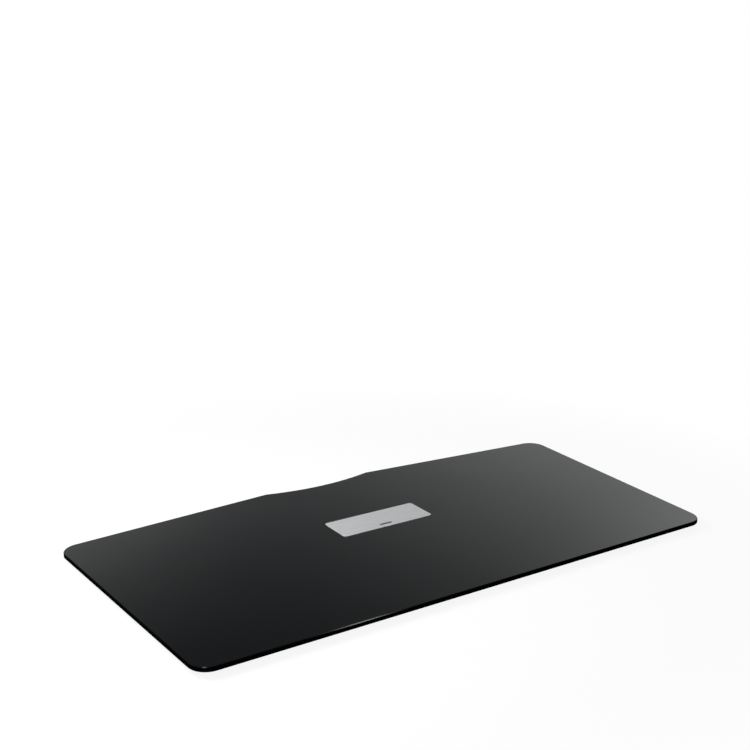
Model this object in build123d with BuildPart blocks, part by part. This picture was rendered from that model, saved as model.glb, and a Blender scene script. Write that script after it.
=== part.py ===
"""Black glass equipment shelf with a retaining plate, clamped to a steel support plate.

Millimetres. x runs along the shelf's width, y from the front edge to the rear, z up.
The origin is under the middle of the shelf, on the support plate's underside.
"""

import os

from build123d import *

os.makedirs("parts", exist_ok=True)

# Glass outline, to its sharp corners before rounding
front_width = 600.0
rear_width = 635.0
side_depth = 303.0
rear_rise = 26.0
corner_radius = 19.0
cutout_width = 135.0
cutout_depth = 9.4
cutout_corner_radius = 4.0
arris = 0.6
hole_arris = 0.5

# Layers, from the floor up
support_thickness = 4.0
gasket_thickness = 1.5
glass_thickness = 5.0
seal_thickness = 0.2
plate_thickness = 0.6

# Retaining plate on top of the glass
plate_width = 112.4
plate_depth = 41.9
plate_setback = 189.5
plate_corner_radius = 3.5
plate_bevel = 0.2
seal_inset = 0.6

# Support plate and gasket under the glass
support_width = 180.0
support_depth = 150.0
support_setback = 175.0
support_corner_radius = 10.0
support_edge_break = 0.5
gasket_inset = 2.0
arm_spacing_x = 140.0
arm_spacing_y = 110.0
arm_hole_radius = 3.0
arm_gasket_clearance = 1.0

# Four fixings that clamp the glass between the two plates
fixing_spacing_x = 76.0
fixing_spacing_y = 22.0
stud_radius = 2.5
thread_clearance = 0.05
nut_wall = 0.95
nut_top_gap = 2.0
nut_head_flare = 1.5
nut_recess = 0.3
socket_size = 4.0
socket_depth = 2.0
socket_web = 0.7
stud_tip_gap = 0.5
bush_wall = 2.3
fit_clearance = 0.1
gasket_clearance = 0.3

# Heights
gasket_bottom = support_thickness
glass_bottom = gasket_bottom + gasket_thickness
glass_top = glass_bottom + glass_thickness
plate_bottom = glass_top + seal_thickness
nut_top = glass_top - nut_top_gap
bore_floor = nut_recess + socket_depth + socket_web
stud_bottom = bore_floor + stud_tip_gap

# Positions along the depth
cutout_corner_rise = rear_rise * (1 - cutout_width / rear_width)
overall_depth = side_depth + cutout_corner_rise
front_y = -overall_depth / 2
rear_corner_y = front_y + side_depth
cutout_y = front_y + overall_depth
plate_y = front_y + plate_setback
support_y = front_y + support_setback

# Radii of the fixings, from the stud outward
bore_radius = stud_radius + thread_clearance
barrel_radius = bore_radius + nut_wall
head_radius = barrel_radius + nut_head_flare
barrel_hole_radius = barrel_radius + fit_clearance
bush_radius = barrel_hole_radius + bush_wall
glass_hole_radius = bush_radius + fit_clearance
gasket_hole_radius = barrel_radius + gasket_clearance

# The plate's fixings, named by where they sit
fixings = {
    "front_left": (-fixing_spacing_x / 2, plate_y - fixing_spacing_y / 2),
    "front_right": (fixing_spacing_x / 2, plate_y - fixing_spacing_y / 2),
    "rear_left": (-fixing_spacing_x / 2, plate_y + fixing_spacing_y / 2),
    "rear_right": (fixing_spacing_x / 2, plate_y + fixing_spacing_y / 2),
}
fixing_points = list(fixings.values())

# Glass: straight front, sides that widen to the rear, two rear edges that rise to a curved cable cut-out
with BuildPart() as glass_panel:
    with BuildSketch(Plane.XY.offset(glass_bottom)) as outline:
        with BuildLine():
            Polyline(
                (-cutout_width / 2, cutout_y),
                (-rear_width / 2, rear_corner_y),
                (-front_width / 2, front_y),
                (front_width / 2, front_y),
                (rear_width / 2, rear_corner_y),
                (cutout_width / 2, cutout_y),
            )
            ThreePointArc(
                (cutout_width / 2, cutout_y),
                (0, cutout_y - cutout_depth),
                (-cutout_width / 2, cutout_y),
            )
        make_face()
        by_side = outline.vertices().sort_by(lambda corner: abs(corner.X))
        fillet(by_side[2:], corner_radius)
        fillet(outline.vertices().sort_by(lambda corner: abs(corner.X))[:2], cutout_corner_radius)
        with Locations(*fixing_points):
            Circle(glass_hole_radius, mode=Mode.SUBTRACT)
    extrude(amount=glass_thickness)
    rims = [face.outer_wire() for face in glass_panel.faces().filter_by(Axis.Z)]
    chamfer([edge for rim in rims for edge in rim.edges()], arris)
    holes = [hole for face in glass_panel.faces().filter_by(Axis.Z) for hole in face.inner_wires()]
    chamfer([edge for hole in holes for edge in hole.edges()], hole_arris)
glass_panel.part.label = "glass_panel"
export_step(glass_panel.part, "parts/glass_panel.step")

# Thin seal between the glass and the retaining plate
with BuildPart() as plate_seal:
    with BuildSketch(Plane.XY.offset(glass_top)):
        with Locations((0, plate_y)):
            RectangleRounded(
                plate_width - 2 * seal_inset,
                plate_depth - 2 * seal_inset,
                plate_corner_radius - seal_inset,
            )
        with Locations(*fixing_points):
            Circle(stud_radius + fit_clearance, mode=Mode.SUBTRACT)
    extrude(amount=seal_thickness)
plate_seal.part.label = "plate_seal"
export_step(plate_seal.part, "parts/plate_seal.step")

# Brushed plate on top, with a bevelled upper rim
with BuildPart() as retaining_plate:
    with BuildSketch(Plane.XY.offset(plate_bottom)):
        with Locations((0, plate_y)):
            RectangleRounded(plate_width, plate_depth, plate_corner_radius)
    extrude(amount=plate_thickness)
    chamfer(retaining_plate.faces().sort_by(Axis.Z)[-1].edges(), plate_bevel)
retaining_plate.part.label = "retaining_plate"
export_step(retaining_plate.part, "parts/retaining_plate.step")

# Studs welded under the retaining plate
with BuildPart() as plate_studs:
    with BuildSketch(Plane.XY.offset(stud_bottom)):
        with Locations(*fixing_points):
            Circle(stud_radius)
    extrude(amount=plate_bottom - stud_bottom)
plate_studs.part.label = "plate_studs"
export_step(plate_studs.part, "parts/plate_studs.step")

# Bushes that keep the metal fixings off the holes in the glass
for place, point in fixings.items():
    with BuildPart() as hole_bush:
        with BuildSketch(Plane.XY.offset(glass_bottom)):
            with Locations(point):
                Circle(bush_radius)
                Circle(barrel_hole_radius, mode=Mode.SUBTRACT)
        extrude(amount=glass_thickness)
    hole_bush.part.label = f"hole_bush_{place}"
    export_step(hole_bush.part, f"parts/hole_bush_{place}.step")

# Rubber gasket between the glass and the support plate
with BuildPart() as lower_gasket:
    with BuildSketch(Plane.XY.offset(gasket_bottom)):
        with Locations((0, support_y)):
            RectangleRounded(
                support_width - 2 * gasket_inset,
                support_depth - 2 * gasket_inset,
                support_corner_radius - gasket_inset,
            )
            with GridLocations(arm_spacing_x, arm_spacing_y, 2, 2):
                Circle(arm_hole_radius + arm_gasket_clearance, mode=Mode.SUBTRACT)
        with Locations(*fixing_points):
            Circle(gasket_hole_radius, mode=Mode.SUBTRACT)
    extrude(amount=gasket_thickness)
lower_gasket.part.label = "lower_gasket"
export_step(lower_gasket.part, "parts/lower_gasket.step")

# Steel support plate: countersunk for the sleeve nuts, tapped at its corners for the stand's arm
with BuildPart() as support_plate:
    with BuildSketch(Plane.XY):
        with Locations((0, support_y)):
            RectangleRounded(support_width, support_depth, support_corner_radius)
    extrude(amount=support_thickness)
    chamfer(support_plate.faces().filter_by(Axis.Z).edges(), support_edge_break)
    with BuildSketch(Plane.XY):
        with Locations((0, support_y)):
            with GridLocations(arm_spacing_x, arm_spacing_y, 2, 2):
                Circle(arm_hole_radius)
        with Locations(*fixing_points):
            Circle(barrel_hole_radius)
    extrude(amount=support_thickness, mode=Mode.SUBTRACT)
    with BuildSketch(Plane.XY):
        with Locations(*fixing_points):
            Circle(head_radius)
    extrude(amount=nut_recess, mode=Mode.SUBTRACT)
    with Locations(*[(x, y, nut_recess) for x, y in fixing_points]):
        Cone(
            head_radius,
            barrel_radius,
            nut_head_flare,
            align=(Align.CENTER, Align.CENTER, Align.MIN),
            mode=Mode.SUBTRACT,
        )
support_plate.part.label = "support_plate"
export_step(support_plate.part, "parts/support_plate.step")

# Sleeve nuts put in from below: countersunk head with a hex socket, blind bore for the stud
with BuildPart() as sleeve_nuts:
    with BuildSketch(Plane.XY.offset(nut_recess)):
        with Locations(*fixing_points):
            Circle(barrel_radius)
    extrude(amount=nut_top - nut_recess)
    with Locations(*[(x, y, nut_recess) for x, y in fixing_points]):
        Cone(
            head_radius,
            barrel_radius,
            nut_head_flare,
            align=(Align.CENTER, Align.CENTER, Align.MIN),
        )
    with BuildSketch(Plane.XY.offset(bore_floor)):
        with Locations(*fixing_points):
            Circle(bore_radius)
    extrude(amount=nut_top - bore_floor, mode=Mode.SUBTRACT)
    with BuildSketch(Plane.XY.offset(nut_recess)):
        with Locations(*fixing_points):
            RegularPolygon(socket_size / 2, 6, major_radius=False)
    extrude(amount=socket_depth, mode=Mode.SUBTRACT)
sleeve_nuts.part.label = "sleeve_nuts"
export_step(sleeve_nuts.part, "parts/sleeve_nuts.step")
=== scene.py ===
import math

import bpy
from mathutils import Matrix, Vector


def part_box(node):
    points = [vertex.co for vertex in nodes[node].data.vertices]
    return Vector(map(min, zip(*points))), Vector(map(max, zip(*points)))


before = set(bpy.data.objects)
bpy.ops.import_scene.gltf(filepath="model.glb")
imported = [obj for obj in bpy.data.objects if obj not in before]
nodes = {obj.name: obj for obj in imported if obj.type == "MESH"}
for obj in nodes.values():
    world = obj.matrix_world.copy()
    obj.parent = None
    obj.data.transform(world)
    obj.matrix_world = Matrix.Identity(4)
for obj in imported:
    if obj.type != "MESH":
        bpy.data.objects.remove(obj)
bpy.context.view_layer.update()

# Retaining plate: its corner radius, its lighter rim (partly a polished edge, partly a painted highlight),
# and one plain dark bar near its front edge, in metres
plate_corner = 0.0035
rim_polish_and_highlight_width = 0.0009
bar_size = Vector((0.0156, 0.0034, 0.0))
bar_setback = 0.0070
bar_shade = 0.12

# Floor, in metres: its share of plain white grows with distance, and the rest keeps the shelf's shadow
floor_radius = 14.0
floor_sides = 96
floor_drop = 0.0005
floor_shade = 0.92
near_distance, near_white = 0.36, 0.90
far_distance, far_white = 0.6, 1.0

# Studio: a low white backdrop, whose top and fade are elevations in degrees, and soft panels that the glass
# mirrors, as azimuth and elevation in degrees, tightness and brightness
dim_studio = (0.025, 0.027, 0.032, 1.0)
backdrop_top, backdrop_fade = 4.0, 2.0
panels = {
    "high_rear_right": (55.7, 25.6, 101.0, 1.1),
    "low_rear_right": (44.7, 7.2, 28.0, 1.0),
    "low_rear": (12.0, 11.5, 61.5, 1.8),
    "high_rear": (24.0, 45.0, 150.0, 4.0),
    "left": (288.0, 12.0, 14.0, 0.9),
    "front_left": (222.0, 12.0, 14.0, 0.8),
    "front_right": (152.0, 12.0, 14.0, 0.7),
    "overhead": (320.0, 80.0, 8.0, 1.0),
}

# Lamps, in metres and watts: a soft one at the upper left, and two narrow beams that glint on the front arris
# and its left corner, each as target, azimuth and elevation, size, power and spread in degrees
soft_place = Vector((-0.5, 0.15, 0.5))
soft_target = Vector((0.0, 0.0, 0.0))
soft_size = (0.5, 0.5)
soft_power = 6.4
beam_distance = 1.5
beams = {
    "arris_beam": (Vector((-0.139, -0.161, 0.0102)), (134.15, 48.8), (0.09, 0.09), 0.0015, 12.0),
    "corner_beam": (Vector((-0.2922, -0.1585, 0.0102)), (228.7, 59.4), (0.50, 0.12), 0.04, 34.0),
}

# Camera at the photograph's viewing angle, in metres, degrees and millimetres
camera_place = (-0.6338, -0.9448, 0.4896)
camera_pitch = -15.233
camera_heading = 32.888
focal_length = 55.035
sensor_width = 36.0


def connect(tree, value, socket):
    """Links value to the socket if it is a node's output, and otherwise sets it there."""
    if isinstance(value, bpy.types.NodeSocket):
        tree.links.new(value, socket)
    else:
        socket.default_value = value


def add(tree, kind, inputs=None, **settings):
    """A shader node with its settings, and its inputs set or linked."""
    node = tree.nodes.new(kind)
    for name, value in settings.items():
        setattr(node, name, value)
    for key, value in (inputs or {}).items():
        connect(tree, value, node.inputs[key])
    return node


def math_node(tree, operation, a, b):
    """The output of a Math node."""
    return add(tree, "ShaderNodeMath", {0: a, 1: b}, operation=operation).outputs[0]


def vector_math(tree, operation, a, b=None):
    """The outputs of a Vector Math node: a vector first, and a number named Value."""
    inputs = {0: a} if b is None else {0: a, 1: b}
    return add(tree, "ShaderNodeVectorMath", inputs, operation=operation).outputs


def remap(tree, value, low, high, to_low=0.0, to_high=1.0):
    """value from low..high to to_low..to_high, held at both ends."""
    inputs = {"Value": value, "From Min": low, "From Max": high, "To Min": to_low, "To Max": to_high}
    return add(tree, "ShaderNodeMapRange", inputs, clamp=True).outputs["Result"]


def mix_value(tree, factor, a, b):
    """A number that goes from a to b with the factor."""
    return add(tree, "ShaderNodeMix", {0: factor, 2: a, 3: b}, data_type="FLOAT").outputs[0]


def mix_colour(tree, factor, a, b):
    """A colour that goes from a to b with the factor."""
    return add(tree, "ShaderNodeMix", {0: factor, 6: a, 7: b}, data_type="RGBA").outputs[2]


def grey(value):
    return (value, value, value, 1.0)


def noise(tree, place, scale, detail=2.0, roughness=0.5):
    """Noise in the part's own metres: scale is cells per metre, or a triple of them along x, y and z."""
    if isinstance(scale, tuple):
        place = add(tree, "ShaderNodeMapping", {"Vector": place, "Scale": scale}).outputs[0]
        scale = 1.0
    inputs = {"Vector": place, "Scale": scale, "Detail": detail, "Roughness": roughness}
    return add(tree, "ShaderNodeTexNoise", inputs).outputs["Fac"]


def spread_noise(tree, value, to_low, to_high):
    """Noise from the middle of its range, spread from to_low to to_high."""
    common_low, common_high = 0.3, 0.7
    return remap(tree, value, common_low, common_high, to_low, to_high)


def depth_inside(tree, place, middle, size, corner):
    """How far a point lies inside a rounded rectangle in x and y, in metres: negative outside it."""
    straight = Vector((size.x / 2 - corner, size.y / 2 - corner, 0.0))
    apart = vector_math(tree, "ABSOLUTE", vector_math(tree, "SUBTRACT", place, middle)[0])[0]
    past = vector_math(tree, "SUBTRACT", apart, straight)[0]
    past_x, past_y, _ = add(tree, "ShaderNodeSeparateXYZ", {0: past}).outputs
    beyond_x = math_node(tree, "MAXIMUM", past_x, 0.0)
    beyond_y = math_node(tree, "MAXIMUM", past_y, 0.0)
    beyond = add(tree, "ShaderNodeCombineXYZ", {0: beyond_x, 1: beyond_y}).outputs[0]
    within = math_node(tree, "MINIMUM", math_node(tree, "MAXIMUM", past_x, past_y), 0.0)
    outward = math_node(tree, "ADD", vector_math(tree, "LENGTH", beyond)["Value"], within)
    return math_node(tree, "SUBTRACT", corner, outward)


def material(name):
    """A new material with a Principled shader: (material, tree, shader, coordinates in metres)."""
    made = bpy.data.materials.new(name)
    made.use_nodes = True
    tree = made.node_tree
    tree.nodes.clear()
    shader = add(tree, "ShaderNodeBsdfPrincipled")
    add(tree, "ShaderNodeOutputMaterial", {"Surface": shader.outputs[0]})
    place = add(tree, "ShaderNodeTexCoord").outputs["Object"]
    return made, tree, shader, place


def finish(tree, shader, colour, roughness, height, distance, strength):
    """Colour and roughness from their nodes, and a bump of the given height in metres."""
    connect(tree, colour, shader.inputs["Base Color"])
    connect(tree, roughness, shader.inputs["Roughness"])
    inputs = {"Height": height, "Distance": distance, "Strength": strength}
    connect(tree, add(tree, "ShaderNodeBump", inputs).outputs[0], shader.inputs["Normal"])


def make_black_glass():
    """Polished top, satin arris, black edge and painted underside, told apart by how far a face points up."""
    made, tree, shader, place = material("black_glass")
    arris_from, arris_full = 0.45, 0.6
    top_from, top_full = 0.8, 0.95
    painted_full, painted_from = -0.95, -0.85
    normal = add(tree, "ShaderNodeNewGeometry").outputs["True Normal"]
    upward = add(tree, "ShaderNodeSeparateXYZ", {0: normal}).outputs["Z"]
    arris = remap(tree, upward, arris_from, arris_full)
    top = remap(tree, upward, top_from, top_full)
    painted = remap(tree, upward, painted_full, painted_from, 1.0, 0.0)

    smudge = noise(tree, place, scale=9.0, detail=5.0, roughness=0.6)
    ground = noise(tree, place, scale=2600.0)
    polish = remap(tree, smudge, low=0.35, high=0.75, to_low=0.012, to_high=0.04)
    satin = spread_noise(tree, ground, to_low=0.10, to_high=0.13)
    paint = spread_noise(tree, ground, to_low=0.30, to_high=0.42)
    roughness = mix_value(tree, painted, mix_value(tree, top, satin, polish), paint)

    deep_black = (0.0010, 0.0012, 0.0013, 1.0)
    pale_black = (0.0018, 0.0020, 0.0021, 1.0)
    sheet = mix_colour(tree, smudge, deep_black, pale_black)
    edge = mix_colour(tree, ground, grey(0.0006), grey(0.0014))
    colour = mix_colour(tree, arris, edge, sheet)

    edge_gloss, arris_gloss, top_gloss, painted_gloss = 0.0, 0.2, 0.5, 0.4
    upper_gloss = mix_value(tree, top, mix_value(tree, arris, edge_gloss, arris_gloss), top_gloss)
    gloss = mix_value(tree, painted, upper_gloss, painted_gloss)
    connect(tree, gloss, shader.inputs["Specular IOR Level"])
    shader.inputs["Specular Tint"].default_value = (0.93, 1.0, 0.965, 1.0)
    shader.inputs["IOR"].default_value = 1.5
    waves = noise(tree, place, scale=7.0, detail=1.0)
    finish(tree, shader, colour, roughness, waves, distance=0.0004, strength=0.5)
    return made


def make_brushed_plate():
    """Brushed steel with its grain along x, a lighter rim that is partly a polished edge and partly a painted
    highlight, and the dark bar.
    """
    made, tree, shader, place = material("brushed_plate")
    shader.inputs["Metallic"].default_value = 0.7
    shader.inputs["Anisotropic"].default_value = 0.6
    across_grain = add(tree, "ShaderNodeTangent", direction_type="RADIAL", axis="X").outputs[0]
    connect(tree, across_grain, shader.inputs["Tangent"])
    fine = noise(tree, place, scale=(45.0, 4200.0, 1.0), detail=3.0, roughness=0.65)
    broad = noise(tree, place, scale=(9.0, 420.0, 1.0))
    broad_share = 0.35
    brushed = mix_value(tree, broad_share, fine, broad)
    grain = spread_noise(tree, brushed, to_low=0.0, to_high=1.0)
    dark_steel = (0.69, 0.693, 0.70, 1.0)
    light_steel = (0.89, 0.893, 0.90, 1.0)
    rim_polish_and_highlight = (0.96, 0.963, 0.97, 1.0)
    steel = mix_colour(tree, grain, dark_steel, light_steel)

    low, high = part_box("retaining_plate")
    middle = (low + high) / 2
    inward = depth_inside(tree, place, middle, high - low, plate_corner)
    # painted highlight: the rim band gets a lighter colour for the bright edge line, partly a polished edge
    rim = remap(tree, inward, rim_polish_and_highlight_width / 2, rim_polish_and_highlight_width, 1.0, 0.0)
    rimmed = mix_colour(tree, rim, steel, rim_polish_and_highlight)
    bar_middle = Vector((middle.x, low.y + bar_setback, middle.z))
    in_bar = depth_inside(tree, place, bar_middle, bar_size, bar_size.y / 2)
    bar = math_node(tree, "GREATER_THAN", in_bar, 0.0)
    colour = mix_colour(tree, bar, rimmed, grey(bar_shade))
    roughness = spread_noise(tree, brushed, to_low=0.46, to_high=0.34)
    finish(tree, shader, colour, roughness, brushed, distance=0.00003, strength=0.7)
    return made


def make_rubber(name, shade):
    """Matt, cloudy rubber with fine pores, around the given grey."""
    made, tree, shader, place = material(name)
    pores = noise(tree, place, scale=1400.0, detail=4.0)
    cloud = noise(tree, place, scale=60.0, detail=3.0)
    darkest, lightest = 0.7, 1.3
    colour = mix_colour(tree, cloud, grey(shade * darkest), grey(shade * lightest))
    roughness = spread_noise(tree, pores, to_low=0.7, to_high=0.9)
    finish(tree, shader, colour, roughness, pores, distance=0.00008, strength=0.5)
    return made


def make_powder_coat():
    """Black powder coat with a slight orange peel."""
    made, tree, shader, place = material("black_powder_coat")
    peel = noise(tree, place, scale=900.0)
    speck = noise(tree, place, scale=3200.0)
    colour = mix_colour(tree, speck, grey(0.018), grey(0.034))
    roughness = spread_noise(tree, peel, to_low=0.38, to_high=0.55)
    finish(tree, shader, colour, roughness, peel, distance=0.0001, strength=0.45)
    return made


def make_zinc():
    """Zinc-plated steel, cloudy and with fine turning marks."""
    made, tree, shader, place = material("zinc_steel")
    shader.inputs["Metallic"].default_value = 1.0
    cloud = noise(tree, place, scale=260.0, detail=4.0)
    turned = noise(tree, place, scale=(60.0, 60.0, 5200.0))
    dark_zinc = (0.52, 0.54, 0.57, 1.0)
    light_zinc = (0.70, 0.71, 0.72, 1.0)
    colour = mix_colour(tree, cloud, dark_zinc, light_zinc)
    roughness = spread_noise(tree, cloud, to_low=0.24, to_high=0.42)
    finish(tree, shader, colour, roughness, turned, distance=0.00003, strength=0.5)
    return made


def make_nylon():
    """Natural nylon, slightly uneven in colour."""
    made, tree, shader, place = material("nylon")
    cloud = noise(tree, place, scale=180.0, detail=3.0)
    skin = noise(tree, place, scale=2400.0)
    dark_nylon = (0.66, 0.64, 0.58, 1.0)
    light_nylon = (0.76, 0.75, 0.70, 1.0)
    colour = mix_colour(tree, cloud, dark_nylon, light_nylon)
    roughness = spread_noise(tree, cloud, to_low=0.42, to_high=0.55)
    finish(tree, shader, colour, roughness, skin, distance=0.00003, strength=0.4)
    return made


def light_path_mask(tree, *rays):
    """1 for the named kinds of ray, and 0 for the rest."""
    path = add(tree, "ShaderNodeLightPath").outputs
    mask = path[rays[0]]
    for ray in rays[1:]:
        mask = math_node(tree, "MAXIMUM", mask, path[ray])
    return mask


def make_floor():
    """Matt to light, plain white to the camera and to reflections, and clear from below."""
    made = bpy.data.materials.new("pale_floor")
    made.use_nodes = True
    tree = made.node_tree
    tree.nodes.clear()
    matt = add(tree, "ShaderNodeBsdfDiffuse", {"Color": grey(floor_shade)}).outputs[0]
    white = add(tree, "ShaderNodeEmission", {"Color": grey(1.0), "Strength": 1.0}).outputs[0]
    seen = light_path_mask(tree, "Is Camera Ray", "Is Glossy Ray", "Is Transmission Ray")
    place = add(tree, "ShaderNodeTexCoord").outputs["Object"]
    away = vector_math(tree, "LENGTH", place)["Value"]
    whiteness = remap(tree, away, near_distance, far_distance, near_white, far_white)
    share = math_node(tree, "MULTIPLY", seen, whiteness)
    upper_side = add(tree, "ShaderNodeMixShader", {0: share, 1: matt, 2: white}).outputs[0]
    under_side = add(tree, "ShaderNodeBsdfTransparent").outputs[0]
    below = add(tree, "ShaderNodeNewGeometry").outputs["Backfacing"]
    surface = add(tree, "ShaderNodeMixShader", {0: below, 1: upper_side, 2: under_side}).outputs[0]
    add(tree, "ShaderNodeOutputMaterial", {"Surface": surface})
    return made


def direction(azimuth, elevation):
    """Unit vector: azimuth from +Y toward +X, elevation above the floor, in degrees."""
    turn = math.radians(azimuth)
    rise = math.radians(elevation)
    return Vector((math.sin(turn) * math.cos(rise), math.cos(turn) * math.cos(rise), math.sin(rise)))


def make_studio():
    """A dim room with soft panels, and a white backdrop: low in reflections, endless to the camera."""
    made = bpy.data.worlds.new("studio")
    made.use_nodes = True
    tree = made.node_tree
    tree.nodes.clear()
    look = add(tree, "ShaderNodeTexCoord").outputs["Generated"]
    light = 0.0
    for azimuth, elevation, tightness, brightness in panels.values():
        toward = vector_math(tree, "DOT_PRODUCT", look, direction(azimuth, elevation))["Value"]
        glow = math_node(tree, "POWER", math_node(tree, "MAXIMUM", toward, 0.0), tightness)
        light = math_node(tree, "ADD", math_node(tree, "MULTIPLY", glow, brightness), light)
    room = add(tree, "ShaderNodeBackground", {"Color": dim_studio}).outputs[0]
    lit = add(tree, "ShaderNodeBackground", {"Color": grey(1.0), "Strength": light}).outputs[0]
    studio = add(tree, "ShaderNodeAddShader", {0: room, 1: lit}).outputs[0]
    white = add(tree, "ShaderNodeBackground", {"Color": grey(1.0)}).outputs[0]
    height = add(tree, "ShaderNodeSeparateXYZ", {0: look}).outputs["Z"]
    fade_from = math.sin(math.radians(backdrop_top))
    fade_to = math.sin(math.radians(backdrop_top + backdrop_fade))
    backdrop = remap(tree, height, fade_from, fade_to, 1.0, 0.0)
    mirrored = light_path_mask(tree, "Is Glossy Ray", "Is Transmission Ray")
    reflected = math_node(tree, "MULTIPLY", mirrored, backdrop)
    seen = math_node(tree, "MAXIMUM", light_path_mask(tree, "Is Camera Ray"), reflected)
    surface = add(tree, "ShaderNodeMixShader", {0: seen, 1: studio, 2: white}).outputs[0]
    add(tree, "ShaderNodeOutputWorld", {"Surface": surface})
    return made


def area_lamp(name, place, target, size, power, spread=180.0):
    """A lamp that faces its target: size is its width and height in metres, spread its beam in degrees."""
    lamp = bpy.data.lights.new(name, "AREA")
    lamp.shape = "ELLIPSE"
    lamp.size, lamp.size_y = size
    lamp.spread = math.radians(spread)
    lamp.energy = power
    made = bpy.data.objects.new(name, lamp)
    made.location = place
    made.rotation_euler = (target - place).to_track_quat("-Z", "Y").to_euler()
    bpy.context.scene.collection.objects.link(made)
    return made


# Finishes of the CAD nodes
zinc = make_zinc()
nylon = make_nylon()
finishes = {
    "glass_panel": make_black_glass(),
    "retaining_plate": make_brushed_plate(),
    "plate_seal": make_rubber("seal_rubber", shade=0.02),
    "lower_gasket": make_rubber("gasket_rubber", shade=0.028),
    "support_plate": make_powder_coat(),
    "plate_studs": zinc,
    "sleeve_nuts": zinc,
    "hole_bush_front_left": nylon,
    "hole_bush_front_right": nylon,
    "hole_bush_rear_left": nylon,
    "hole_bush_rear_right": nylon,
}
for name, node in nodes.items():
    node.material_slots[0].material = finishes[name]

# Floor and surroundings
floor_place = (0.0, 0.0, -floor_drop)
bpy.ops.mesh.primitive_circle_add(
    vertices=floor_sides,
    radius=floor_radius,
    fill_type="NGON",
    location=floor_place,
)
floor = bpy.context.object
floor.name = "floor"
floor.data.materials.append(make_floor())
bpy.context.scene.world = make_studio()

# Lamps: the soft one lights the matt surfaces, and reflections show the panels in its place
soft_lamp = area_lamp("soft_lamp", soft_place, soft_target, soft_size, soft_power)
soft_lamp.visible_glossy = False
soft_lamp.visible_camera = False
for name, (target, angles, size, power, spread) in beams.items():
    area_lamp(name, target + beam_distance * direction(*angles), target, size, power, spread)

# Camera
camera_data = bpy.data.cameras.new("camera")
camera_data.sensor_width = sensor_width
camera_data.lens = focal_length
camera = bpy.data.objects.new("camera", camera_data)
camera.location = camera_place
camera.rotation_euler = (math.radians(90.0 + camera_pitch), 0.0, math.radians(-camera_heading))
bpy.context.scene.collection.objects.link(camera)
bpy.context.scene.camera = camera

bpy.context.scene.view_settings.view_transform = "Standard"
